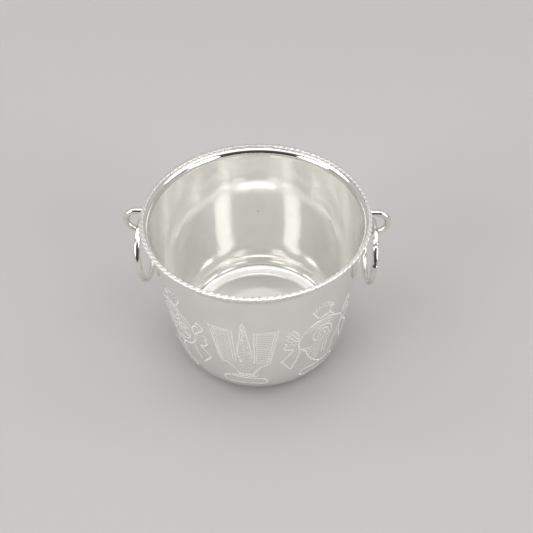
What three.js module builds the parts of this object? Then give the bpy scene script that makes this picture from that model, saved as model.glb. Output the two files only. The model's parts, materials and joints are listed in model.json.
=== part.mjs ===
// Small silver water pot with a twisted-wire edge round its mouth and a loose ring hanging in an ear on each side.
// Millimetres, +Z up. The origin is the centre of the base, on the surface that the pot stands on.
// The ears stand out along +X and -X, and each ring hangs square to that line.
import * as THREE from 'three';

// Pot: one spun sheet, whose sizes are those of its outer face
const POT_HEIGHT = 52.85;
const MOUTH_RADIUS = 32.5;
const SHEET = 0.6;
const LIP_FLARE = 1.35;
const NECK_BELOW_TOP = 3.25;
const WALL_TAPER = 1.25;
const CORNER_WIDTH = 5.7;
const CORNER_HEIGHT = 11.9;
const FOOT_WIDTH = 1.8;
const BASE_RISE = 0.5;
const BASE_STEP_WIDTH = 0.8;

// Edge wire: two strands twisted together, bent into a hoop and hammered a little flat
const ROPE_WIDTH = 1.6;
const ROPE_THICKNESS = 0.9;
const ROPE_LAY = 3.69;
const STRAND_SPREAD = 0.4;

// Ears: a wire loop with one leg on the edge wire and one on the wall
const EAR_WIRE = 1.88;
const EAR_LOOP_RADIUS = 3.6;
const EAR_STAND_OUT = 1.6;
const EAR_TOP_BELOW_ROPE = 0.4;

// Rings: a wire circle, cut where it was opened to go into the ear
const RING_WIRE = 1.85;
const RING_RADIUS = 9.7;
const RING_CUT = 0.18;
const RING_CUT_ANGLE = THREE.MathUtils.degToRad(53);

// Clearances
const SOLDER_GAP = 0.2;
const HANG_GAP = 0.2;

// Facets
const POT_SEGMENTS = 72;
const CORNER_STEPS = 7;
const ROPE_STEPS_PER_TWIST = 8;
const ROPE_SECTION_POINTS = 6;
const WIRE_QUARTER_POINTS = 5;
const EAR_STEPS = 18;
const RING_STEPS = 40;

// Places that follow from the sizes
const ROPE_RADIUS = MOUTH_RADIUS - ROPE_WIDTH / 2;
const ROPE_LEVEL = POT_HEIGHT - ROPE_THICKNESS / 2;
const ROPE_TWISTS = Math.round((2 * Math.PI * ROPE_RADIUS) / ROPE_LAY);
const LIP_LEVEL = ROPE_LEVEL - ROPE_THICKNESS / 2 - SOLDER_GAP;
const NECK_LEVEL = POT_HEIGHT - NECK_BELOW_TOP;
const NECK_RADIUS = MOUTH_RADIUS - LIP_FLARE;
const WALL_FOOT_RADIUS = NECK_RADIUS - WALL_TAPER;
const FOOT_RADIUS = WALL_FOOT_RADIUS - CORNER_WIDTH;
const EAR_CENTRE_RADIUS = MOUTH_RADIUS + EAR_STAND_OUT;
const EAR_TOP_LEVEL = ROPE_LEVEL - EAR_TOP_BELOW_ROPE;
const EAR_FOOT_LEVEL = EAR_TOP_LEVEL - 2 * EAR_LOOP_RADIUS;
const RING_TOP_LEVEL = EAR_FOOT_LEVEL + EAR_WIRE / 2 + HANG_GAP + RING_WIRE / 2;

const silver = (name, color, roughness) =>
  new THREE.MeshStandardMaterial({ name, color, roughness, metalness: 1 });

// Radius of the wall's outer face at a height between its foot and its neck
function wallRadius(level) {
  const up = (level - CORNER_HEIGHT) / (NECK_LEVEL - CORNER_HEIGHT);
  return THREE.MathUtils.lerp(WALL_FOOT_RADIUS, NECK_RADIUS, up);
}

// Outer face of the pot from the middle of its base to the end of its lip, as points (radius, level)
function outerFace() {
  const points = [
    new THREE.Vector2(0, BASE_RISE),
    new THREE.Vector2(FOOT_RADIUS - FOOT_WIDTH - BASE_STEP_WIDTH, BASE_RISE),
    new THREE.Vector2(FOOT_RADIUS - FOOT_WIDTH, 0),
  ];
  for (let step = 0; step <= CORNER_STEPS; step++) {
    const angle = (step / CORNER_STEPS) * (Math.PI / 2);
    const radius = FOOT_RADIUS + CORNER_WIDTH * Math.sin(angle);
    points.push(new THREE.Vector2(radius, CORNER_HEIGHT * (1 - Math.cos(angle))));
  }
  points.push(new THREE.Vector2(NECK_RADIUS, NECK_LEVEL));
  points.push(new THREE.Vector2(ROPE_RADIUS + SHEET / 2, LIP_LEVEL));
  return points;
}

// The same line one sheet thickness further in, with mitred corners
function innerFace(outer) {
  const inward = (from, to) => {
    const along = to.clone().sub(from).normalize();
    return new THREE.Vector2(-along.y, along.x);
  };
  return outer.map((point, i) => {
    if (i === 0) return new THREE.Vector2(0, point.y + SHEET);
    const before = inward(outer[i - 1], point);
    if (i === outer.length - 1) return new THREE.Vector2(point.x + SHEET / before.x, point.y);
    const after = inward(point, outer[i + 1]);
    const mitre = before.clone().add(after);
    return point.clone().addScaledVector(mitre, SHEET / (1 + before.dot(after)));
  });
}

function potBody() {
  const outer = outerFace();
  const profile = outer.concat(innerFace(outer).reverse());
  const geometry = new THREE.LatheGeometry(profile, POT_SEGMENTS);
  geometry.rotateX(Math.PI / 2);
  return new THREE.Mesh(geometry, silver('pot_silver', 0xd8d4ca, 0.18));
}

// Half-width of two fused round strands in direction angle, as a share of their full half-width
function strandSection(angle) {
  const spread = STRAND_SPREAD;
  const strand = 1 - spread;
  const across = spread * Math.sin(angle);
  return spread * Math.abs(Math.cos(angle)) + Math.sqrt(strand * strand - across * across);
}

// The section turns once about the wire's own line in each twist, and closes on itself after a whole number
function ropeEdge() {
  const steps = ROPE_TWISTS * ROPE_STEPS_PER_TWIST;
  const geometry = new THREE.TorusGeometry(ROPE_RADIUS, ROPE_WIDTH / 2, ROPE_SECTION_POINTS, steps);
  const position = geometry.attributes.position;
  for (let i = 0; i < position.count; i++) {
    const round = geometry.attributes.uv.getX(i) * 2 * Math.PI;
    const lay = geometry.attributes.uv.getY(i) * 2 * Math.PI;
    const turned = lay + round * ROPE_TWISTS;
    const radius = ROPE_RADIUS + (ROPE_WIDTH / 2) * strandSection(lay) * Math.cos(turned);
    const level = (ROPE_THICKNESS / 2) * strandSection(lay) * Math.sin(turned);
    position.setXYZ(i, radius * Math.cos(round), radius * Math.sin(round), level);
  }
  geometry.deleteAttribute('uv');
  const mesh = new THREE.Mesh(geometry, silver('rope_silver', 0xe2ded6, 0.25));
  mesh.position.z = ROPE_LEVEL;
  return mesh;
}

// Arc of a circle in the plane of two unit vectors, from one angle to another
class PlaneArc extends THREE.Curve {
  constructor(centre, radius, first, second, from, to) {
    super();
    Object.assign(this, { centre, radius, first, second, from, to });
  }

  getPoint(share, target = new THREE.Vector3()) {
    const angle = THREE.MathUtils.lerp(this.from, this.to, share);
    return target
      .copy(this.centre)
      .addScaledVector(this.first, this.radius * Math.cos(angle))
      .addScaledVector(this.second, this.radius * Math.sin(angle));
  }
}

function roundWire(path, diameter, steps) {
  const section = new THREE.Shape().absarc(0, 0, diameter / 2, 0, 2 * Math.PI, false);
  const options = { extrudePath: path, steps, curveSegments: WIRE_QUARTER_POINTS, bevelEnabled: false };
  return new THREE.ExtrudeGeometry(section, options);
}

const ACROSS = new THREE.Vector3(1, 0, 0);
const ALONG = new THREE.Vector3(0, 1, 0);
const UP = new THREE.Vector3(0, 0, 1);

// The upper leg butts on the edge wire, the lower leg on the wall, and a half circle joins them
function ear() {
  const at = (radius, level) => new THREE.Vector3(radius, 0, level);
  const leg = (from, to, level) => new THREE.LineCurve3(at(from, level), at(to, level));
  const middle = at(EAR_CENTRE_RADIUS, EAR_TOP_LEVEL - EAR_LOOP_RADIUS);
  const ropeSeat = MOUTH_RADIUS + SOLDER_GAP;
  const wallSeat = wallRadius(EAR_FOOT_LEVEL) + SOLDER_GAP;
  const path = new THREE.CurvePath();
  path.add(leg(ropeSeat, EAR_CENTRE_RADIUS, EAR_TOP_LEVEL));
  path.add(new PlaneArc(middle, EAR_LOOP_RADIUS, ACROSS, UP, Math.PI / 2, -Math.PI / 2));
  path.add(leg(EAR_CENTRE_RADIUS, wallSeat, EAR_FOOT_LEVEL));
  return new THREE.Mesh(roundWire(path, EAR_WIRE, EAR_STEPS), silver('ear_silver', 0xdedad2, 0.2));
}

// The ring hangs on the ear's lower leg, and its cut faces the front, above the middle
function ring() {
  const middle = new THREE.Vector3(EAR_CENTRE_RADIUS, 0, RING_TOP_LEVEL - RING_RADIUS);
  const halfCut = RING_CUT / 2 / RING_RADIUS;
  const from = Math.PI - RING_CUT_ANGLE + halfCut;
  const to = from + 2 * Math.PI - 2 * halfCut;
  const path = new PlaneArc(middle, RING_RADIUS, ALONG, UP, from, to);
  return new THREE.Mesh(roundWire(path, RING_WIRE, RING_STEPS), silver('ring_silver', 0xdedad2, 0.2));
}

const waterPot = new THREE.Group();

function place(mesh, name, parent) {
  mesh.name = name;
  parent.add(mesh);
}

place(potBody(), 'pot_body', waterPot);
place(ropeEdge(), 'rope_edge', waterPot);

// The left side is the right side turned half round the pot's axis
for (const [side, turn] of [['right', 0], ['left', Math.PI]]) {
  const group = new THREE.Group();
  group.rotation.z = turn;
  place(ear(), `ear_${side}`, group);
  place(ring(), `ring_${side}`, group);
  waterPot.add(group);
}

export default waterPot;
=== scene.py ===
"""Small silver water pot with a twisted-wire edge, engraved emblems and a ring in an ear on each side."""

import json
import math
import random

import bmesh
import bpy
import numpy as np
from mathutils import Matrix, Vector
from mathutils.geometry import delaunay_2d_cdt
from mathutils.kdtree import KDTree


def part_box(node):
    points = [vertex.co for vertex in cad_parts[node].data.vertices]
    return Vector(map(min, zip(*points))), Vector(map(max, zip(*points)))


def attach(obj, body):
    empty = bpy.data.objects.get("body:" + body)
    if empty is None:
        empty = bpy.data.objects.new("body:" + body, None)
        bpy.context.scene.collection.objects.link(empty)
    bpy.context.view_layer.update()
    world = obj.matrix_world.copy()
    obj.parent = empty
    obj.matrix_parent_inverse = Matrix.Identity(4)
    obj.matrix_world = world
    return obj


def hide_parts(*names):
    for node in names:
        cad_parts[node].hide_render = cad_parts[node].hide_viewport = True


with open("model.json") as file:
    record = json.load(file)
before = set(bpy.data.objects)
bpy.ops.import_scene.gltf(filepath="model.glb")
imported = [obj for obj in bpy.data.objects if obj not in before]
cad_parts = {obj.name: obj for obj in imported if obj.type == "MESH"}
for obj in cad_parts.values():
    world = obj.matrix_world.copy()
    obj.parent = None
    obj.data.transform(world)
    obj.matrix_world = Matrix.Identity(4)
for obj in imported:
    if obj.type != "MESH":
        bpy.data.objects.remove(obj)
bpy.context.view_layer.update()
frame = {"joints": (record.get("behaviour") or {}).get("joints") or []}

# Sizes are in millimetres, and meshes are brought to metres as they are made
MM = 0.001


def node_box(node):
    low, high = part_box(node)
    return low / MM, high / MM


def joint_place(name):
    joint = next(j for j in frame["joints"] if j["name"] == name)
    return Vector(joint["pos_m"]) / MM


# Camera, as fitted to the mouth, wall and base of the pot in the photograph
PHOTO_PIXELS = 533
FOCAL_PIXELS = 493
SENSOR_WIDTH = 36
CAMERA_PLACE = Vector((7.15, -104.98, 144.86))
CAMERA_TURN = math.radians(2.414)
CAMERA_PITCH = math.radians(47.754)
CAMERA_ROLL = math.radians(-1.028)
CAMERA_NEAREST = 5

# Pot: sizes of the sheet's outer face, as in the solid
SHEET = 0.6
LIP_FLARE = 1.35
NECK_BELOW_TOP = 3.25
WALL_TAPER = 1.25
CORNER_WIDTH = 5.7
CORNER_HEIGHT = 11.9
FOOT_WIDTH = 1.8
BASE_RISE = 0.5
BASE_STEP_WIDTH = 0.8

# Pot: finer forms. The lip and its solder reach out and in from the middle of the edge wire
FOOT_BEND = 0.45
NECK_THICKENING = 0.25
CREASE_RISE = 0.3
LIP_OUTSIDE = 0.15
LIP_RISE_INSIDE = 0.2
FLARE_TURN_OUT = 0.1
FLARE_TURN_DROP = 0.45
SOLDER_OUTSIDE = 0.2
SOLDER_INSIDE = 0.27
SOLDER_RISE = 0.5
BELLY_HEIGHT = 18
BELLY_DEPTH = 0.09
DISH_RADIUS = 14.5
DISH_DEPTH = 0.22

# Edge wire: two strands, twisted and hammered flat
ROPE_WIDTH = 1.15
ROPE_TWISTS = 54
STRAND_WIRE = 0.76
HAMMERED_WIDTH = 0.33
HAMMERED_HEIGHT = 0.23

# Ears: a leg runs a little way into the edge wire and the wall, and the lower one spreads into its solder
EAR_WIRE = 1.88
EAR_IN_ROPE = 0.35
EAR_IN_WALL = 0.15
EAR_SOLDER_LENGTH = 0.9
EAR_SOLDER_SPREAD = 0.55

# Rings: a circle with a cut, whose ends are worn, and a bead of stray solder on the right one
RING_WIRE = 1.85
RING_RADIUS = 9.7
RING_CUT = 0.18
RING_CUT_ANGLE = math.radians(53)
CUT_WEAR = 0.12
CUT_WEAR_LENGTH = 0.25
BEAD_ANGLE = math.radians(163)
BEAD_RISE = 0.24
BEAD_LENGTH = 0.5

# Facets
COLUMNS = 240
CORNER_STEPS = 36
WALL_LINE_STEPS = 200
BEND_STEPS = 6
FLARE_STEPS = 16
WALL_STEPS = 36
FLOOR_STEPS = 24
ROPE_STEPS_PER_TWIST = 24
STRAND_SIDES = 16
WIRE_SIDES = 32
EAR_ARC_STEPS = 48
EAR_UPPER_POINTS = 12
EAR_LOWER_POINTS = 16
RING_STEPS = 180
SHARP_ANGLE = math.radians(15)
MERGE_GAP = 0.002

# Kinds of the pot's faces
TURNED = 0
WALL = 1
ENGRAVED = 2

# Places that follow from the solids and the sizes
ROPE_LOW, ROPE_HIGH = node_box("rope_edge")
EAR_LOW, EAR_HIGH = node_box("ear_right")
RING_TOP = joint_place("ring_right_swing")
MOUTH_RADIUS = ROPE_HIGH.x
ROPE_RADIUS = MOUTH_RADIUS - ROPE_WIDTH / 2
ROPE_LEVEL = (ROPE_LOW.z + ROPE_HIGH.z) / 2
ROPE_THICKNESS = ROPE_HIGH.z - ROPE_LOW.z
LIP_LEVEL = node_box("pot_body")[1].z
NECK_LEVEL = ROPE_HIGH.z - NECK_BELOW_TOP
NECK_RADIUS = MOUTH_RADIUS - LIP_FLARE
WALL_FOOT_RADIUS = NECK_RADIUS - WALL_TAPER
FOOT_RADIUS = WALL_FOOT_RADIUS - CORNER_WIDTH
CONE_HEIGHT = NECK_LEVEL - CORNER_HEIGHT
CONE_LENGTH = math.hypot(CONE_HEIGHT, WALL_TAPER)
EAR_TOP_LEVEL = EAR_HIGH.z - EAR_WIRE / 2
EAR_FOOT_LEVEL = EAR_LOW.z + EAR_WIRE / 2
EAR_LOOP_RADIUS = (EAR_TOP_LEVEL - EAR_FOOT_LEVEL) / 2
EAR_CENTRE_RADIUS = EAR_HIGH.x - EAR_WIRE / 2 - EAR_LOOP_RADIUS


def make_camera():
    camera = bpy.data.objects.new("camera", bpy.data.cameras.new("camera"))
    bpy.context.scene.collection.objects.link(camera)
    camera.data.sensor_width = SENSOR_WIDTH
    camera.data.lens = FOCAL_PIXELS / PHOTO_PIXELS * SENSOR_WIDTH
    camera.data.clip_start = CAMERA_NEAREST * MM
    turn = Matrix.Rotation(CAMERA_TURN, 4, "Z")
    tilt = Matrix.Rotation(math.pi / 2 - CAMERA_PITCH, 4, "X")
    roll = Matrix.Rotation(CAMERA_ROLL, 4, "Z")
    camera.matrix_world = Matrix.Translation(CAMERA_PLACE * MM) @ turn @ tilt @ roll
    bpy.context.scene.camera = camera


make_camera()


class Value:
    """What a node gives. Where it is a number, sums, products and powers of it add Math nodes."""

    def __init__(self, nodes, socket):
        self.nodes = nodes
        self.socket = socket

    def math(self, operation, *others):
        sockets = dict(enumerate((self, *others)))
        return self.nodes.value("ShaderNodeMath", {"operation": operation}, sockets)

    def __add__(self, other):
        return self.math("ADD", other)

    def __mul__(self, other):
        return self.math("MULTIPLY", other)

    def __sub__(self, other):
        return self.math("SUBTRACT", other)

    def __rsub__(self, other):
        return self * -1 + other

    def __truediv__(self, other):
        return self.math("DIVIDE", other)

    def __pow__(self, other):
        return self.math("POWER", other)

    __radd__ = __add__
    __rmul__ = __mul__

    def between(self, low, high):
        """0 below low, 1 above high, and a smooth step from one to the other"""
        settings = {"interpolation_type": "SMOOTHSTEP"}
        sockets = {"Value": self, "From Min": low, "From Max": high}
        return self.nodes.value("ShaderNodeMapRange", settings, sockets)


class Nodes:
    """A node tree."""

    def __init__(self, tree):
        self.tree = tree

    def feed(self, place, value):
        """Links a socket to what a node gives, or sets it to a plain value"""
        if isinstance(value, Value):
            value = value.socket
        if isinstance(value, bpy.types.NodeSocket):
            self.tree.links.new(value, place)
        else:
            place.default_value = value

    def node(self, kind, settings=None, sockets=None):
        """A new node of a kind, with its settings and what goes into its sockets"""
        node = self.tree.nodes.new(kind)
        for name, value in (settings or {}).items():
            setattr(node, name, value)
        for name, value in (sockets or {}).items():
            self.feed(node.inputs[name], value)
        return node

    def value(self, kind, settings=None, sockets=None):
        """What a new node gives first"""
        return Value(self, self.node(kind, settings, sockets).outputs[0])

    def axes(self, place):
        """The x, y and z of a place"""
        node = self.node("ShaderNodeSeparateXYZ", None, {0: place})
        return [Value(self, part) for part in node.outputs]


class Finish(Nodes):
    """A node material of one finish."""

    def __init__(self, name):
        self.material = bpy.data.materials.new(name)
        self.material.use_nodes = True
        super().__init__(self.material.node_tree)

    def attribute(self, name):
        return Value(self, self.node("ShaderNodeAttribute", {"attribute_name": name}).outputs["Fac"])

    def place(self):
        return self.node("ShaderNodeTexCoord").outputs["Object"]

    def noise(self, scale, detail=3.0):
        sockets = {"Vector": self.place(), "Scale": scale, "Detail": detail}
        return self.value("ShaderNodeTexNoise", None, sockets)

    def lines(self, along, scale, detail):
        """Noise that varies along one value alone, for lines left by turning"""
        sockets = {"W": along, "Scale": scale, "Detail": detail}
        return self.value("ShaderNodeTexNoise", {"noise_dimensions": "1D"}, sockets)

    def mix(self, share, first, second):
        """The first colour where the share is 0, and the second where it is 1"""
        sockets = {0: share, 6: first, 7: second}
        return self.node("ShaderNodeMix", {"data_type": "RGBA"}, sockets).outputs[2]

    def bump(self, height, distance):
        return self.value("ShaderNodeBump", None, {"Height": height, "Distance": distance})

    def finished(self, sockets):
        """The material, with what goes into its shader's sockets"""
        shader = self.tree.nodes["Principled BSDF"]
        for name, value in sockets.items():
            self.feed(shader.inputs[name], value)
        return self.material


def colour(red, green, blue):
    return (red, green, blue, 1.0)


# Colours of the silver, bright to dull
FROSTED = colour(0.97, 0.96, 0.935)
BRIGHT = colour(0.96, 0.945, 0.915)
POLISHED = colour(0.94, 0.93, 0.905)
HANDLED = colour(0.88, 0.86, 0.82)
DULL = colour(0.84, 0.825, 0.79)
WORN = colour(0.74, 0.715, 0.67)
TARNISH = colour(0.30, 0.275, 0.24)

# Marks on the pot: a dark pit on the wall inside, and the levels between which its turning lines are coarse
PIT_PLACE = Vector((-1.2, 29.75, 26.2))
PIT_RADIUS = 0.35
PIT_CORE_RADIUS = 0.14
COARSE_FROM = 32
COARSE_TO = 38
COARSE_FADE = 1

# How far the fine grooves and scratches of a finish rise and fall
POT_GRAIN = 0.004
WIRE_GRAIN = 0.01

# Shares by which the cuts and the inside are less than fully metallic. Real silver is fully metallic, but
# these parts then render darker than they look in the photograph
CUT_SCATTER = 0.85
INSIDE_SCATTER = 0.38


def pot_finish():
    """Mirror-polished outside, spun and brushed inside, frosted where the graver cut"""
    finish = Finish("pot_silver_finish")
    place = finish.place()
    x, y, z = finish.axes(place)
    along = (x * x + y * y).math("SQRT") + z
    inside = finish.attribute("inside")
    cut = finish.attribute("cut")
    cloud = finish.noise(90)
    speck = finish.noise(1500, 2)
    spin = finish.lines(along, 2600, 5)
    rings = finish.lines(along, 420, 2)
    coarse = finish.lines(z, 1900, 2)
    above = z.between((COARSE_FROM - COARSE_FADE) * MM, (COARSE_FROM + COARSE_FADE) * MM)
    below = 1 - z.between((COARSE_TO - COARSE_FADE) * MM, (COARSE_TO + COARSE_FADE) * MM)
    gap = finish.node("ShaderNodeVectorMath", {"operation": "DISTANCE"}, {0: place, 1: PIT_PLACE * MM})
    pit = 1 - Value(finish, gap.outputs["Value"]).between(PIT_CORE_RADIUS * MM, PIT_RADIUS * MM)
    dull = cloud.between(0.45, 0.75) * 0.35 + inside * speck.between(0.35, 0.8) * 0.25
    metal = finish.mix(dull, POLISHED, DULL)
    metal = finish.mix(cut, metal, FROSTED)
    metal = finish.mix(pit, metal, TARNISH)
    satin = 0.06 + spin.between(0.3, 0.8) * 0.04 + speck.between(0.3, 0.8) * 0.04 + cloud * 0.04
    mirror = 0.05 + cloud.between(0.4, 0.8) * 0.05
    grain = inside * (spin * 0.3 + rings * 0.6 + coarse * (above * below) * 1.6) + cut * speck * 2
    return finish.finished({
        "Base Color": metal,
        "Roughness": mirror + inside * (satin - mirror) + cut * 0.45,
        "Metallic": 1 - cut * CUT_SCATTER - inside * INSIDE_SCATTER,
        "Normal": finish.bump(grain, POT_GRAIN * MM),
    })


def wire_finish(name, bright, rough):
    """Drawn and polished wire, with a little dullness in patches and fine scratches"""
    finish = Finish(name)
    cloud = finish.noise(350)
    scratch = finish.noise(2600, 4)
    return finish.finished({
        "Base Color": finish.mix(cloud.between(0.45, 0.75) * 0.6, bright, WORN),
        "Roughness": scratch * 0.08 + cloud * 0.08 + rough,
        "Metallic": 1.0,
        "Normal": finish.bump(scratch, WIRE_GRAIN * MM),
    })


def floor_finish():
    """Plain matt floor"""
    sockets = {"Base Color": FLOOR_COLOUR, "Roughness": 0.9, "Specular IOR Level": 0.1}
    return Finish("floor_finish").finished(sockets)


def add_mesh(name, points, faces):
    """A mesh object from points in millimetres"""
    mesh = bpy.data.meshes.new(name)
    mesh.from_pydata([Vector(point) * MM for point in points], [], faces)
    piece = bpy.data.objects.new(name, mesh)
    bpy.context.scene.collection.objects.link(piece)
    return piece


def dress(piece, material, body, nodes):
    piece.data.materials.clear()
    piece.data.materials.append(material)
    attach(piece, body)
    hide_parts(*nodes)


# Engraving. Places are (across, down) on the unrolled wall, from an emblem's middle line and from the neck.
# The net is that wall cut into triangles, whose own points keep a clearance from the strokes
NET_RADIUS = 30.5
NET_WALL_ROWS = 15
NET_CORNER_ROWS = 22
NET_CLEARANCE = 0.3
NET_MERGE = 1e-5
BROAD = 0.9
BOLD = 0.5
LINE = 0.38
FINE = 0.22
HAIR = 0.15
END_WIDTH = 0.5
STATION_STEP = 0.5
TRACE_STEP = 0.06
CURVE_STEPS = 6
GROOVE_SLOPE = 0.6
GROOVE_REACH = 0.97
STIPPLES = 240
NAMAM_AT = math.radians(-5.0)
EMBLEM_TURN = math.radians(45.5)


def straight(*points):
    return [Vector(point) for point in points]


def curve(*points):
    """A smooth line through a few points"""
    points = [Vector(point) for point in points]
    points = [2 * points[0] - points[1], *points, 2 * points[-1] - points[-2]]
    smooth = []
    for a, b, c, d in zip(points, points[1:], points[2:], points[3:]):
        for step in range(CURVE_STEPS):
            t = step / CURVE_STEPS
            square, cube = 2 * a - 5 * b + 4 * c - d, 3 * b - a - 3 * c + d
            smooth.append((2 * b + (c - a) * t + square * t**2 + cube * t**3) / 2)
    return smooth + [points[-2]]


def arc(middle, reach, start, end, steps=40):
    """Part of an ellipse, whose angles in degrees run from the right to the bottom"""
    line = []
    for step in range(steps + 1):
        a = math.radians(start + (end - start) * step / steps)
        line.append(Vector((middle[0] + reach[0] * math.cos(a), middle[1] + reach[1] * math.sin(a))))
    return line


def moved(lines, across, down):
    step = Vector((across, down))
    return [([point + step for point in points], width) for points, width in lines]


def mirrored(lines):
    return [([Vector((-point.x, point.y)) for point in points], width) for points, width in lines]


def dots_along(points, spacing, size):
    """Short cuts at even steps along a line"""
    lengths = np.cumsum([0] + [(end - start).length for start, end in zip(points, points[1:])])
    steps = np.linspace(0, lengths[-1], round(lengths[-1] / spacing) + 1)
    across = np.interp(steps, lengths, [point.x for point in points])
    down = np.interp(steps, lengths, [point.y for point in points])
    half = Vector((0, size / 2))
    places = [Vector(place) for place in zip(across, down)]
    return [([place - half, place, place + half], size) for place in places]


def scallops(left, right, level, count, depth):
    """Row of small bows that hang from one level"""
    width = (right - left) / count
    middles = [(left + width * (i + 0.5), level) for i in range(count)]
    return [(arc(middle, (width / 2, depth), 180, 0, 8), LINE) for middle in middles]


def base():
    """Seat under an emblem: a flat bar with round ends and a scalloped lower edge"""
    return [
        (arc((-5.1, 39.3), (2.1, 1.9), 100, 280, 14), BOLD),
        (arc((4.6, 39.9), (1.9, 1.8), -95, 80, 14), BOLD),
        (curve((-4.9, 37.4), (-2.5, 37.7), (1.5, 37.8), (4.5, 38.1)), LINE),
        (curve((-5.6, 41.1), (0, 41.3), (5.0, 41.6)), FINE),
    ] + scallops(-5.6, 5.0, 40.9, 9, 0.55)


def crown():
    """Flame crown, wider at its top, whose upper edge is two rows of dots"""
    top = curve((-4.6, 9.6), (-3.2, 8.5), (-1.4, 8.1), (0.6, 8.9), (2.6, 11.1))
    lower = curve((-3.6, 10.4), (-2.4, 9.7), (-1.0, 9.5), (0.4, 10.1), (1.5, 11.2))
    return [
        (curve((-4.9, 9.9), (-4.2, 10.7), (-3.5, 12.1), (-2.5, 13.7)), BOLD),
        (curve((2.7, 11.5), (1.6, 11.4), (1.3, 12.9), (1.9, 14.5), (2.9, 15.7)), BOLD),
        (straight((-2.4, 13.8), (-0.5, 13.5), (1.4, 14.0)), LINE),
        (straight((-2.2, 14.4), (-0.5, 14.2), (1.6, 14.8)), FINE),
    ] + dots_along(top, 1.05, 0.66) + dots_along(lower, 1.05, 0.5)


def conch_scroll():
    """Flower scroll with a ribbon tail, on the conch's left"""
    ribbon = [(-12.6, 19.9), (-12.2, 21.1), (-12.9, 22.3), (-12.3, 23.6), (-11.2, 24.1), (-9.9, 24.5)]
    return [
        (curve((-8.2, 18.7), (-8.8, 17.0), (-9.6, 15.6), (-10.6, 14.8), (-11.6, 15.4), (-12.3, 17.0)), BOLD),
        (curve((-11.8, 17.9), (-11.5, 16.5), (-10.7, 16.2), (-10.1, 17.3), (-9.2, 18.8), (-8.3, 19.8)), LINE),
        (curve((-11.1, 17.7), (-10.4, 19.0), (-9.4, 20.2), (-8.5, 20.7)), LINE),
        (curve((-12.4, 18.2), (-11.5, 19.4), (-10.3, 20.5)), FINE),
        (straight(*ribbon), BOLD),
        (straight((-9.9, 24.9), (-13.5, 29.6), (-10.5, 35.4)), BOLD),
        (curve((-10.5, 35.4), (-9.4, 32.2), (-8.5, 29.4), (-8.1, 26.2), (-8.3, 23.6)), BOLD),
    ] + dots_along(straight((-11.2, 21.1), (-9.2, 22.4)), 0.85, 0.5)


def conch():
    """Conch, with its whorl, the ribs of its tail and a crown"""
    tail = [(-7.9, 25.6), (-6.9, 26.1), (-6.2, 27.4), (-5.4, 28.2), (-5.5, 29.7), (-4.7, 30.9), (-4.6, 32.1)]
    tail += [(-3.7, 33.2), (-3.3, 34.5), (-2.3, 35.3), (-1.8, 36.5), (-0.8, 37.3), (0.2, 38.6)]
    lines = [
        (curve((-2.0, 14.9), (-4.9, 15.5), (-6.6, 17.6), (-7.9, 19.6), (-8.5, 22.2), (-7.9, 25.6)), BOLD),
        (straight(*tail), BOLD),
        (curve((2.9, 15.7), (4.3, 18.0), (7.0, 20.2), (8.3, 22.3), (8.5, 25.2), (7.4, 28.3)), LINE),
        (curve((7.4, 28.3), (5.6, 30.6), (5.1, 33.0), (4.9, 35.2), (3.2, 37.5)), LINE),
        (curve((-1.7, 24.9), (-3.0, 24.2), (-3.7, 22.6), (-3.5, 20.8), (-2.5, 19.4), (-0.8, 18.9)), BOLD),
        (curve((-0.8, 18.9), (1.0, 19.2), (2.5, 20.5), (3.4, 22.4), (3.6, 24.6), (3.0, 27.3)), LINE),
        (curve((3.0, 27.3), (2.2, 29.6), (1.8, 32.0), (1.7, 35.2)), LINE),
        (curve((-1.7, 24.0), (-2.3, 22.6), (-1.8, 21.0), (-0.4, 20.4), (1.1, 21.1), (2.1, 22.8)), LINE),
        (curve((2.1, 22.8), (2.3, 24.8), (1.6, 27.1), (0.7, 29.4), (0.5, 34.4)), LINE),
        (curve((-1.1, 23.8), (-1.0, 22.5), (0.0, 22.1), (0.8, 23.2), (0.6, 24.9), (-0.4, 26.3)), LINE),
        (curve((-7.9, 25.6), (-5.2, 26.6), (-2.6, 26.7), (-0.3, 25.9)), FINE),
    ]
    for i in range(3):
        drop = 1.2 * i
        shoulder = [(-5.2 - 0.5 * i, 16.3), (-2.8, 15.6), (0.4, 15.6), (3.5, 17.0)]
        lowered = [(across, down + drop) for across, down in shoulder]
        lines.append((curve(*lowered), LINE if i == 0 else FINE))
    for i in range(5):
        level = 28.0 + 1.6 * i
        left = -4.9 + 0.68 * i
        lines.append((curve((left, level), ((left - 0.1) / 2, level + 0.2), (-0.2, level - 0.3)), FINE))
    sides = conch_scroll() + moved(mirrored(conch_scroll()), 0, 0.8)
    return lines + crown() + sides + moved(base(), 0, 0.9)


def discus_scroll():
    """Flower scroll with a ribbon tail, on the discus's right"""
    petal = [(9.6, 15.7), (10.8, 15.1), (11.8, 15.9), (12.0, 17.1), (11.4, 18.4), (10.1, 19.9), (8.6, 21.9)]
    return [
        (curve((8.4, 21.2), (8.2, 19.3), (8.9, 17.7), (9.9, 16.9), (10.5, 17.3)), BOLD),
        (curve(*petal), BOLD),
        (curve((10.8, 17.9), (10.5, 18.7), (11.0, 19.2)), LINE),
        (straight((11.9, 19.9), (12.8, 21.3), (12.2, 22.5), (12.9, 24.0), (11.6, 25.8), (10.1, 26.5)), BOLD),
        (straight((10.1, 26.6), (13.3, 30.3), (13.1, 31.1), (9.9, 36.0)), BOLD),
        (curve((7.7, 28.0), (7.9, 30.3), (8.6, 32.6), (9.6, 34.4)), BOLD),
    ] + dots_along(straight((9.7, 21.7), (11.3, 20.9)), 0.85, 0.5)


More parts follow.
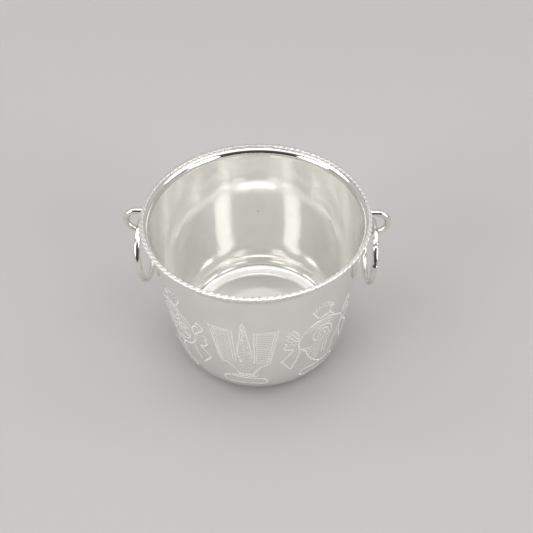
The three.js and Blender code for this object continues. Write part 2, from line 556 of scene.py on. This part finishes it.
def discus():
    """Discus, with two rims, a wheel of bent petals and a crown"""
    middle = Vector((0.1, 23.1))
    rims = ((8.4, BOLD), (6.5, LINE), (1.4, LINE))
    lines = [(arc(middle, (reach, reach), 0, 360, 72), width) for reach, width in rims]
    for petal in range(8):
        turn = math.radians(45 * petal + 10)
        across = Vector((math.cos(turn), math.sin(turn)))
        aside = Vector((-across.y, across.x))
        root, tip = middle + across * 1.8, middle + across * 6.0 + aside * 1.4
        for bow in (1.4, -0.5):
            lines.append((curve(root, (root + tip) / 2 + aside * bow, tip), LINE))
    stem = [(curve((-2.6, 31.3), (-1.6, 33.2), (-2.2, 35.2), (-3.8, 37.8)), LINE)]
    lines += stem + mirrored(stem) + scallops(-2.0, 2.0, 35.0, 3, 0.7)
    sides = discus_scroll() + mirrored(discus_scroll())
    return lines + mirrored(crown()) + sides + moved(base(), 0, 0.7)


def wing():
    """Left wing of the sect mark: a ticked double border, ruled with level lines inside"""
    lines = [
        (straight((-9.7, 12.0), (-7.25, 29.5)), BOLD),
        (straight((-8.75, 13.4), (-6.55, 28.9)), FINE),
        (straight((-9.5, 12.5), (-3.1, 12.7)), LINE),
        (straight((-8.75, 13.4), (-3.8, 13.5)), FINE),
        (straight((-3.1, 12.6), (-2.75, 28.4)), LINE),
        (straight((-3.8, 13.5), (-3.55, 28.6)), FINE),
        (curve((-7.25, 29.5), (-5.6, 29.9), (-4.5, 30.9), (-3.7, 32.1), (-2.8, 33.7), (-2.1, 35.2)), BOLD),
    ]
    for i in range(15):
        level = 14.5 + i
        edge = -8.75 + 0.142 * (level - 13.4)
        lines.append((straight((edge, level), (-3.8, level + 0.1)), HAIR))
    for i in range(20):
        level = 14.0 + 0.75 * i
        edge = -9.42 + 0.14 * (level - 14.0)
        lines.append((straight((edge + 0.2, level + 0.3), (edge + 0.6, level - 0.2)), HAIR))
    return lines


def namam():
    """Sect mark of two wings and a stippled flame between them, on a lotus"""
    lines = wing() + moved(mirrored(wing()), -0.15, 0.6)
    lines += [
        (curve((-0.1, 8.3), (-0.45, 10.0), (-0.8, 13.0), (-1.5, 18.0), (-1.9, 21.0), (-2.2, 25.0)), LINE),
        (curve((-0.1, 8.3), (0.4, 10.0), (0.8, 13.0), (1.3, 17.0), (1.8, 21.0), (2.0, 26.5)), LINE),
        (straight((-1.7, 26.0), (-1.35, 27.3), (-1.5, 28.6)), BROAD),
        (straight((2.3, 28.6), (2.4, 29.5)), BOLD),
    ]
    draw = random.Random(7)
    for _ in range(STIPPLES):
        level = draw.uniform(10.5, 34.5)
        half = 0.1 * (level - 8.5) if level < 26 else 2.0 + 0.5 * math.sin((level - 26) / 3)
        dot = Vector((draw.uniform(-half, half), level))
        lines.append((straight(dot, dot + Vector((0.05, 0.2))), FINE))
    return lines + scallops(-2.3, 2.1, 35.0, 4, 0.7) + scallops(-4.3, 3.5, 36.1, 7, 0.7) + base()


def resample(points, spacing):
    """Points at about even steps along a line, with its corners kept"""
    out = [points[0]]
    for start, end in zip(points, points[1:]):
        count = max(1, round((end - start).length / spacing))
        out += [start.lerp(end, (i + 1) / count) for i in range(count)]
    return out


def all_strokes():
    """Every stroke on the unrolled wall, as its points and width"""
    emblems = [(namam(), NAMAM_AT), (conch(), NAMAM_AT + EMBLEM_TURN), (discus(), NAMAM_AT - EMBLEM_TURN)]
    for lines, azimuth in emblems:
        middle = Vector((azimuth * NET_RADIUS, 0))
        for points, width in lines:
            yield [point + middle for point in points], width


def corner_line(inset, steps=CORNER_STEPS):
    """The rounded corner of the wall from its foot in to the base, as (radius, level) arrays"""
    angle = np.linspace(0, math.pi / 2, steps + 1)
    radius = FOOT_RADIUS + (CORNER_WIDTH - inset) * np.cos(angle)
    return radius, CORNER_HEIGHT - (CORNER_HEIGHT - inset) * np.sin(angle)


def wall_line():
    """The wall's outer face from the neck to the foot: radius, level and the distance down along it"""
    radius, level = corner_line(0, WALL_LINE_STEPS)
    radius = np.concatenate([[NECK_RADIUS], radius])
    level = np.concatenate([[NECK_LEVEL], level])
    down = np.concatenate([[0], np.cumsum(np.hypot(np.diff(radius), np.diff(level)))])
    return radius, level, down


WALL_RADII, WALL_LEVELS, WALL_DOWN = wall_line()


def on_wall(across, down, depth=0.0):
    """Points of the wall's outer face, or below it, and its normals there"""
    radius = np.interp(down, WALL_DOWN, WALL_RADII)
    level = np.interp(down, WALL_DOWN, WALL_LEVELS)
    sine = np.clip((CORNER_HEIGHT - level) / CORNER_HEIGHT, 0, 1)
    on_cone = down < CONE_LENGTH
    out = np.where(on_cone, CONE_HEIGHT, np.sqrt(1 - sine**2) / CORNER_WIDTH)
    fall = np.where(on_cone, WALL_TAPER, sine / CORNER_HEIGHT)
    size = np.hypot(out, fall)
    out, fall = out / size, fall / size
    angle = across / NET_RADIUS
    normal = np.stack([out * np.sin(angle), -out * np.cos(angle), -fall], -1)
    place = np.stack([radius * np.sin(angle), -radius * np.cos(angle), level], -1)
    return place - normal * np.reshape(depth, (-1, 1)), normal


class Strokes:
    """Every stroke of the engraving, and how near a place on the unrolled wall is to one"""

    def __init__(self):
        self.lines = list(all_strokes())
        middles = []
        for line, width in self.lines:
            middles += [(middle, width / 2) for middle in resample(line, TRACE_STEP)]
        self.reaches = [reach for _, reach in middles]
        self.places = KDTree(len(middles))
        for i, (middle, _) in enumerate(middles):
            self.places.insert((middle.x, middle.y, 0), i)
        self.places.balance()

    def near(self, across, down):
        """Distance to the nearest stroke's middle, and that stroke's half-width"""
        _, i, gap = self.places.find((across, down, 0))
        return gap, self.reaches[i]

    def outlines(self):
        """Points along the sides and the middle of every stroke, and the edges that join them"""
        points, edges = [], []
        for line, width in self.lines:
            stations = resample(line, STATION_STEP)
            last = len(stations) - 1
            first = len(points)
            for i, station in enumerate(stations):
                along = (stations[min(i + 1, last)] - stations[max(i - 1, 0)]).normalized()
                aside = Vector((-along.y, along.x))
                reach = width / 2 * (END_WIDTH if i in (0, last) else 1)
                points += [station - aside * reach, station, station + aside * reach]
                if i:
                    at = first + 3 * i
                    edges += [(at + side, at + side - 3) for side in range(3)]
            for end in (first, first + 3 * last):
                edges += [(end, end + 1), (end + 1, end + 2)]
        return points, edges


def wall_net():
    """Triangles of the unrolled wall: across, down and depth of points, faces, and which faces are cut"""
    strokes = Strokes()
    points, edges = strokes.outlines()
    half = math.pi * NET_RADIUS
    wall_rows = np.linspace(0, CONE_LENGTH, NET_WALL_ROWS, endpoint=False)
    rows = np.concatenate([wall_rows, np.linspace(CONE_LENGTH, WALL_DOWN[-1], NET_CORNER_ROWS)])
    for down in rows:
        for across in np.linspace(-half, half, COLUMNS + 1):
            gap, reach = strokes.near(across, down)
            border = down in (rows[0], rows[-1])
            if border or gap > reach + NET_CLEARANCE:
                points.append(Vector((across, down)))
    flat = [Vector((point.x, -point.y)) for point in points]
    vertices, _, faces, _, _, _ = delaunay_2d_cdt(flat, edges, [], 0, NET_MERGE)
    depth = np.zeros(len(vertices))
    for at, vertex in enumerate(vertices):
        gap, reach = strokes.near(vertex.x, -vertex.y)
        depth[at] = GROOVE_SLOPE * max(0.0, reach * GROOVE_REACH - gap)
    cut = []
    for face in faces:
        middle = sum((vertices[i] for i in face), Vector((0, 0))) / 3
        gap, reach = strokes.near(middle.x, -middle.y)
        cut.append(gap < reach)
    across = np.array([vertex.x for vertex in vertices])
    down = np.array([-vertex.y for vertex in vertices])
    return across, down, depth, faces, cut


def bend(before, corner, after, radius):
    """Arc that rounds a corner of a profile"""
    before, corner, after = Vector(before), Vector(corner), Vector(after)
    back, on = (before - corner).normalized(), (after - corner).normalized()
    half = back.angle(on) / 2
    middle = corner + (back + on).normalized() * (radius / math.sin(half))
    first = corner + back * (radius / math.tan(half)) - middle
    last = corner + on * (radius / math.tan(half)) - middle
    shares = [step / BEND_STEPS for step in range(BEND_STEPS + 1)]
    return [middle + first.slerp(last, share).normalized() * radius for share in shares]


def dish(radius):
    """How far the middle of the floor is spun down below its rim"""
    share = min(1.0, radius / DISH_RADIUS)
    return DISH_DEPTH * (1 - share**2)


def belly(level):
    """How far the inside is spun out just below the neck, most at a quarter of the belly's height"""
    share = min(1.0, max(0.0, NECK_LEVEL + CREASE_RISE - level) / BELLY_HEIGHT)
    most = 0.25 * 0.75**3
    return BELLY_DEPTH * share * (1 - share) ** 3 / most


def base_step(level):
    """The two corners where the middle of the base is pressed up from the foot"""
    ring_inner = FOOT_RADIUS - FOOT_WIDTH
    return (ring_inner, level), (ring_inner - BASE_STEP_WIDTH, level + BASE_RISE)


# The sheet's inner face meets the lip's flare in a crease, at this place in its profile
CREASE = Vector((NECK_RADIUS - SHEET - NECK_THICKENING, NECK_LEVEL + CREASE_RISE))


def lip_line():
    """Profile from the neck, out and up over the lip, and down its flare towards the crease inside"""
    top = LIP_LEVEL + SOLDER_RISE
    line = straight(
        (NECK_RADIUS, NECK_LEVEL),
        (ROPE_RADIUS + LIP_OUTSIDE, LIP_LEVEL),
        (ROPE_RADIUS + SOLDER_OUTSIDE, top),
        (ROPE_RADIUS - SOLDER_INSIDE, top),
    )
    start = Vector((ROPE_RADIUS - SOLDER_INSIDE, LIP_LEVEL + LIP_RISE_INSIDE))
    turn = Vector((CREASE.x + FLARE_TURN_OUT, start.y - FLARE_TURN_DROP))
    for step in range(FLARE_STEPS):
        share = step / FLARE_STEPS
        line.append(start.lerp(turn, share).lerp(turn.lerp(CREASE, share), share))
    return line


def inside_line():
    """Profile from the crease down the wall inside and in to the middle of the floor"""
    foot = Vector((WALL_FOOT_RADIUS - SHEET, CORNER_HEIGHT))
    line = []
    for step in range(WALL_STEPS):
        place = CREASE.lerp(foot, step / WALL_STEPS)
        line.append(place + Vector((belly(place.y), 0)))
    line += [Vector(point) for point in zip(*corner_line(SHEET))]
    low, high = base_step(SHEET)
    line += bend((FOOT_RADIUS, SHEET), low, high, FOOT_BEND)
    line += bend(low, high, (0, high[1]), FOOT_BEND)
    for step in range(1, FLOOR_STEPS + 1):
        radius = (high[0] - FOOT_BEND) * (1 - step / FLOOR_STEPS)
        line.append(Vector((radius, high[1] - dish(radius))))
    return line


def underside_line():
    """Profile from the foot in to the middle of the base"""
    low, high = base_step(0)
    line = [Vector((FOOT_RADIUS, 0))]
    line += bend((FOOT_RADIUS, 0), low, high, FOOT_BEND)
    line += bend(low, high, (0, BASE_RISE), FOOT_BEND)
    return line + [Vector((high[0] / 2, BASE_RISE)), Vector((0, BASE_RISE))]


def turned(profile):
    """Points and faces of a profile turned about the pot's axis, whose last point is on it"""
    angle = -math.pi + 2 * math.pi * np.arange(COLUMNS) / COLUMNS
    points = [(p.x * math.sin(a), -p.x * math.cos(a), p.y) for p in profile[:-1] for a in angle]
    points.append((0, 0, profile[-1].y))
    faces = []
    for row in range(len(profile) - 2):
        for column in range(COLUMNS):
            a, b = row * COLUMNS + column, row * COLUMNS + (column + 1) % COLUMNS
            faces.append((a, b, b + COLUMNS, a + COLUMNS))
    last = (len(profile) - 2) * COLUMNS
    faces += [(last + c, last + (c + 1) % COLUMNS, len(points) - 1) for c in range(COLUMNS)]
    return points, faces


def make_pot():
    """The engraved wall, closed by the lip, the inside and the underside"""
    across, down, depth, net, cut = wall_net()
    places, _ = on_wall(across, down, depth)
    points, faces = list(places), [tuple(face) for face in net]
    kinds = [ENGRAVED if is_cut else WALL for is_cut in cut]
    inside = [0.0] * len(points)
    lip = lip_line()
    for profile, outside_rows in ((lip + inside_line(), len(lip)), (underside_line(), None)):
        more_points, more_faces = turned(profile)
        faces += [tuple(i + len(points) for i in face) for face in more_faces]
        points += more_points
        outside = len(more_points) if outside_rows is None else outside_rows * COLUMNS
        inside += [0.0] * outside + [1.0] * (len(more_points) - outside)
    kinds += [TURNED] * (len(faces) - len(kinds))
    pot = add_mesh("pot", points, faces)
    pot.data.attributes.new("kind", "INT", "FACE").data.foreach_set("value", kinds)
    pot.data.attributes.new("inside", "FLOAT", "POINT").data.foreach_set("value", inside)
    work = bmesh.new()
    work.from_mesh(pot.data)
    bmesh.ops.remove_doubles(work, verts=work.verts, dist=MERGE_GAP * MM)
    bmesh.ops.recalc_face_normals(work, faces=work.faces)
    work.to_mesh(pot.data)
    work.free()
    smooth_wall(pot.data)
    return pot


def smooth_wall(mesh):
    """Gives the wall its true normals, and marks the cuts, which stay sharp, for the finish"""
    kinds = np.zeros(len(mesh.polygons), np.int32)
    mesh.attributes["kind"].data.foreach_get("value", kinds)
    cut = (kinds == ENGRAVED).astype(np.float32)
    mesh.attributes.new("cut", "FLOAT", "FACE").data.foreach_set("value", cut)
    places = np.zeros(len(mesh.vertices) * 3)
    mesh.vertices.foreach_get("co", places)
    places = places.reshape(-1, 3) / MM
    across = np.arctan2(places[:, 0], -places[:, 1]) * NET_RADIUS
    down = np.interp(-places[:, 2], -WALL_LEVELS, WALL_DOWN)
    _, wall_normals = on_wall(across, down)
    mesh.shade_smooth()
    mesh.set_sharp_from_angle(angle=SHARP_ANGLE)
    normals = np.zeros((len(mesh.loops), 3))
    for polygon in mesh.polygons:
        for at in polygon.loop_indices:
            if kinds[polygon.index] == WALL:
                normals[at] = wall_normals[mesh.loops[at].vertex_index]
            elif kinds[polygon.index] == ENGRAVED:
                normals[at] = polygon.normal
    mesh.normals_split_custom_set(normals.tolist())


class Tree(Nodes):
    """A Geometry Nodes tree with named inputs."""

    def __init__(self, name, sizes):
        super().__init__(bpy.data.node_groups.new(name, "GeometryNodeTree"))
        self.tree.interface.new_socket("Geometry", in_out="INPUT", socket_type="NodeSocketGeometry")
        for size, kind in sizes.items():
            self.tree.interface.new_socket(size, in_out="INPUT", socket_type=kind)
        self.tree.interface.new_socket("Geometry", in_out="OUTPUT", socket_type="NodeSocketGeometry")
        given = self.node("NodeGroupInput").outputs
        self.given = {size: Value(self, given[size]) for size in sizes}
        self.result = self.node("NodeGroupOutput").inputs[0]

    def apply(self, name, sizes):
        """The tree's mesh for these sizes, as a plain object"""
        carrier = bpy.data.objects.new(name, bpy.data.meshes.new(name))
        bpy.context.scene.collection.objects.link(carrier)
        modifier = carrier.modifiers.new("shape", "NODES")
        modifier.node_group = self.tree
        for item in self.tree.interface.items_tree:
            if item.in_out == "INPUT" and item.name in sizes:
                modifier[item.identifier] = sizes[item.name]
        evaluated = carrier.evaluated_get(bpy.context.evaluated_depsgraph_get())
        mesh = bpy.data.meshes.new_from_object(evaluated)
        carrier.modifiers.clear()
        carrier.data = mesh
        return carrier


def circle(tree, points, radius):
    sockets = {"Resolution": points, "Radius": radius}
    return tree.value("GeometryNodeCurvePrimitiveCircle", {"mode": "RADIUS"}, sockets)


def wound_strand(tree, phase):
    """One round strand that winds round the hoop"""
    given = tree.given
    hoop = circle(tree, given["Steps"], given["Hoop"])
    turn = tree.value("GeometryNodeSplineParameter") * (2 * math.pi)
    lay = turn * given["Twists"] + phase
    reach = lay.math("COSINE") * given["Offset"] + given["Hoop"]
    place = tree.value("ShaderNodeCombineXYZ", None, {
        "X": reach * turn.math("COSINE"),
        "Y": reach * turn.math("SINE"),
        "Z": lay.math("SINE") * given["Offset"],
    })
    wound = tree.value("GeometryNodeSetPosition", None, {"Geometry": hoop, "Position": place})
    section = circle(tree, given["Sides"], given["Strand"])
    return tree.value("GeometryNodeCurveToMesh", None, {"Curve": wound, "Profile Curve": section})


def hammered(value, limit, half):
    """Pushes what stands out past a limit back towards it, and scales the rest to a half size"""
    share = value / limit
    return share / (share**4 + 1.0) ** 0.25 * half


def unhammered(half, limit, reach):
    """Half size to give the tree, so that strands that reach so far end at this half size"""
    share = reach / limit
    return half * (1 + share**4) ** 0.25 / share


def rope_tree():
    """Two round strands that wind round a hoop, flattened together"""
    sizes = dict.fromkeys(("Hoop", "Level", "Offset", "Strand"), "NodeSocketFloat")
    sizes |= dict.fromkeys(("Half Width", "Half Height", "Width Limit", "Height Limit"), "NodeSocketFloat")
    sizes |= dict.fromkeys(("Twists", "Steps", "Sides"), "NodeSocketInt")
    sizes["Material"] = "NodeSocketMaterial"
    tree = Tree("twisted_edge", sizes)
    given = tree.given
    strands = tree.node("GeometryNodeJoinGeometry")
    for phase in (0.0, math.pi):
        tree.feed(strands.inputs[0], wound_strand(tree, phase))
    x, y, z = tree.axes(tree.value("GeometryNodeInputPosition"))
    reach = (x**2 + y**2).math("SQRT")
    out = hammered(reach - given["Hoop"], given["Width Limit"], given["Half Width"])
    grow = (out + given["Hoop"]) / reach
    level = hammered(z, given["Height Limit"], given["Half Height"]) + given["Level"]
    place = tree.value("ShaderNodeCombineXYZ", None, {"X": x * grow, "Y": y * grow, "Z": level})
    sockets = {"Geometry": strands.outputs[0], "Position": place}
    flat = tree.value("GeometryNodeSetPosition", None, sockets)
    smooth = tree.value("GeometryNodeSetShadeSmooth", None, {"Geometry": flat})
    real = tree.value("GeometryNodeRealizeInstances", None, {"Geometry": smooth})
    clad = {"Geometry": real, "Material": given["Material"]}
    tree.feed(tree.result, tree.value("GeometryNodeSetMaterial", None, clad))
    return tree


def make_rope(material):
    strand = STRAND_WIRE / 2
    reach = ROPE_WIDTH / 2
    sizes = {
        "Hoop": ROPE_RADIUS * MM,
        "Level": ROPE_LEVEL * MM,
        "Offset": (reach - strand) * MM,
        "Strand": strand * MM,
        "Half Width": unhammered(reach, HAMMERED_WIDTH, reach) * MM,
        "Half Height": unhammered(ROPE_THICKNESS / 2, HAMMERED_HEIGHT, reach) * MM,
        "Width Limit": HAMMERED_WIDTH * MM,
        "Height Limit": HAMMERED_HEIGHT * MM,
        "Twists": ROPE_TWISTS,
        "Steps": ROPE_TWISTS * ROPE_STEPS_PER_TWIST,
        "Sides": STRAND_SIDES,
        "Material": material,
    }
    return rope_tree().apply("twisted_edge_wire", sizes)


def swept(name, path, reaches):
    """Round wire along a path in millimetres, with its own half-thickness at each point and flat ends"""
    points, faces = [], []
    last = len(path) - 1
    aside = None
    for i, place in enumerate(path):
        along = (path[min(i + 1, last)] - path[max(i - 1, 0)]).normalized()
        aside = along.orthogonal() if aside is None else aside
        aside = (aside - along * aside.dot(along)).normalized()
        up = along.cross(aside)
        for side in range(WIRE_SIDES):
            a = 2 * math.pi * side / WIRE_SIDES
            points.append(place + (aside * math.cos(a) + up * math.sin(a)) * reaches[i])
    for i in range(last):
        for side in range(WIRE_SIDES):
            a, b = i * WIRE_SIDES + side, i * WIRE_SIDES + (side + 1) % WIRE_SIDES
            faces.append((a, b, b + WIRE_SIDES, a + WIRE_SIDES))
    faces.append(tuple(reversed(range(WIRE_SIDES))))
    faces.append(tuple(range(last * WIRE_SIDES, (last + 1) * WIRE_SIDES)))
    piece = add_mesh(name, points, faces)
    piece.data.shade_smooth()
    return piece


def to_side(path, side):
    """A path of the right side, or the same turned half round the pot's axis"""
    return [Vector((place.x * side, place.y * side, place.z)) for place in path]


def make_ear(name, side):
    """Wire loop whose legs run into the edge wire and the wall, the lower one spread into its solder"""
    centre = Vector((EAR_CENTRE_RADIUS, 0, (EAR_TOP_LEVEL + EAR_FOOT_LEVEL) / 2))
    upper_end = MOUTH_RADIUS - EAR_IN_ROPE
    taper = (EAR_FOOT_LEVEL - CORNER_HEIGHT) / CONE_HEIGHT * WALL_TAPER
    lower_end = WALL_FOOT_RADIUS + taper - EAR_IN_WALL
    upper = np.linspace(upper_end, EAR_CENTRE_RADIUS, EAR_UPPER_POINTS)
    lower = np.linspace(EAR_CENTRE_RADIUS, lower_end, EAR_LOWER_POINTS)
    path = [Vector((radius, 0, EAR_TOP_LEVEL)) for radius in upper]
    for step in range(1, EAR_ARC_STEPS):
        a = math.pi / 2 - math.pi * step / EAR_ARC_STEPS
        path.append(centre + Vector((math.cos(a), 0, math.sin(a))) * EAR_LOOP_RADIUS)
    path += [Vector((radius, 0, EAR_FOOT_LEVEL)) for radius in lower]
    reaches = []
    for place in path:
        share = max(0.0, 1 - (place.x - lower_end) / EAR_SOLDER_LENGTH) if place.z < centre.z else 0.0
        reaches.append(EAR_WIRE / 2 + EAR_SOLDER_SPREAD * share**2)
    return swept(name, to_side(path, side), reaches)


def make_ring(name, side, bead):
    """Wire circle with the cut where it was opened, and a bead of stray solder of the given rise"""
    centre = Vector((RING_TOP.x, 0, RING_TOP.z - RING_RADIUS))
    half_cut = RING_CUT / 2 / RING_RADIUS
    start = math.pi - RING_CUT_ANGLE + half_cut
    sweep = 2 * math.pi - 2 * half_cut
    path, reaches = [], []
    for step in range(RING_STEPS + 1):
        share = step / RING_STEPS
        a = start + sweep * share
        path.append(centre + Vector((0, math.cos(a), math.sin(a))) * RING_RADIUS)
        from_end = min(share, 1 - share) * sweep * RING_RADIUS
        worn = CUT_WEAR * max(0.0, 1 - from_end / CUT_WEAR_LENGTH) ** 2
        solder = bead * math.exp(-(((a - BEAD_ANGLE) * RING_RADIUS / BEAD_LENGTH) ** 2))
        reaches.append(RING_WIRE / 2 - worn + solder)
    return swept(name, to_side(path, side), reaches)


# Floor, lamps and sky. Each lamp has its place, its width and how bright its face is
FLOOR_COLOUR = colour(0.46, 0.45, 0.44)
FLOOR_REACH = 1.8
FLOOR_SIDES = 96
FLOOR_DROP = 0.05
LAMPS = [
    ("light_top", (0.0, 0.03, 2.1), 3.0, 0.88),
    ("light_middle", (0.0, 0.2, 1.9), 0.8, 3.8),
    ("light_left", (-1.55, 0.25, 1.55), 1.05, 2.2),
    ("light_right", (1.55, 0.25, 1.55), 1.05, 2.1),
    ("light_front_left", (-1.6, -0.92, 0.75), 1.2, 4.3),
    ("light_front_right", (1.55, -1.0, 0.75), 1.2, 3.9),
]
SKY_COLOUR = colour(1.0, 0.995, 0.985)
HORIZON_LEVEL = 0.42
ZENITH_LEVEL = 0.6
FRONT_LEVEL = 0.12
FRONT_FROM = -0.7
FRONT_TO = 0.1
BACKDROP_LEVEL = 0.62


def make_floor():
    reach = FLOOR_REACH / MM
    angles = [2 * math.pi * side / FLOOR_SIDES for side in range(FLOOR_SIDES)]
    edge = [(reach * math.cos(angle), reach * math.sin(angle), -FLOOR_DROP) for angle in angles]
    floor = add_mesh("floor", edge, [tuple(range(FLOOR_SIDES))])
    floor.data.materials.append(floor_finish())


def make_lamps():
    """Soft round lamps that face the pot"""
    for name, place, width, level in LAMPS:
        lamp = bpy.data.objects.new(name, bpy.data.lights.new(name, "AREA"))
        lamp.data.shape = "DISK"
        lamp.data.size = width
        lamp.data.energy = level * math.pi * (math.pi * width**2 / 4)
        lamp.location = place
        lamp.rotation_euler = (-Vector(place)).to_track_quat("-Z", "Y").to_euler()
        bpy.context.scene.collection.objects.link(lamp)


def make_sky():
    """Brightens evenly from the horizon up, is dimmer in front, and shows the camera a plain backdrop"""
    world = bpy.data.worlds.new("studio")
    world.use_nodes = True
    sky = Nodes(world.node_tree)
    _, y, z = sky.axes(sky.node("ShaderNodeTexCoord").outputs["Generated"])
    rise = {"Value": z, "To Min": HORIZON_LEVEL, "To Max": ZENITH_LEVEL}
    front = {"Value": y, "From Min": FRONT_FROM, "From Max": FRONT_TO, "To Min": FRONT_LEVEL}
    level = sky.value("ShaderNodeMapRange", None, rise) * sky.value("ShaderNodeMapRange", None, front)
    by_camera = sky.node("ShaderNodeLightPath").outputs["Is Camera Ray"]
    seen = sky.value("ShaderNodeMix", None, {"Factor": by_camera, "A": level, "B": BACKDROP_LEVEL})
    background = world.node_tree.nodes["Background"]
    sky.feed(background.inputs["Strength"], seen)
    sky.feed(background.inputs["Color"], SKY_COLOUR)
    bpy.context.scene.world = world


make_floor()
make_lamps()
make_sky()
bpy.context.scene.view_settings.view_transform = "Standard"

dress(make_pot(), pot_finish(), "pot", ["pot_body"])
rope_metal = wire_finish("rope_silver_finish", BRIGHT, 0.2)
dress(make_rope(rope_metal), rope_metal, "pot", ["rope_edge"])
ear_metal = wire_finish("ear_silver_finish", HANDLED, 0.08)
ring_metal = wire_finish("ring_silver_finish", HANDLED, 0.07)
for side_name, side in (("right", 1), ("left", -1)):
    dress(make_ear(f"ear_{side_name}_wire", side), ear_metal, "pot", [f"ear_{side_name}"])
    ring = make_ring(f"ring_{side_name}_wire", side, BEAD_RISE if side > 0 else 0.0)
    dress(ring, ring_metal, f"ring_{side_name}", [f"ring_{side_name}"])
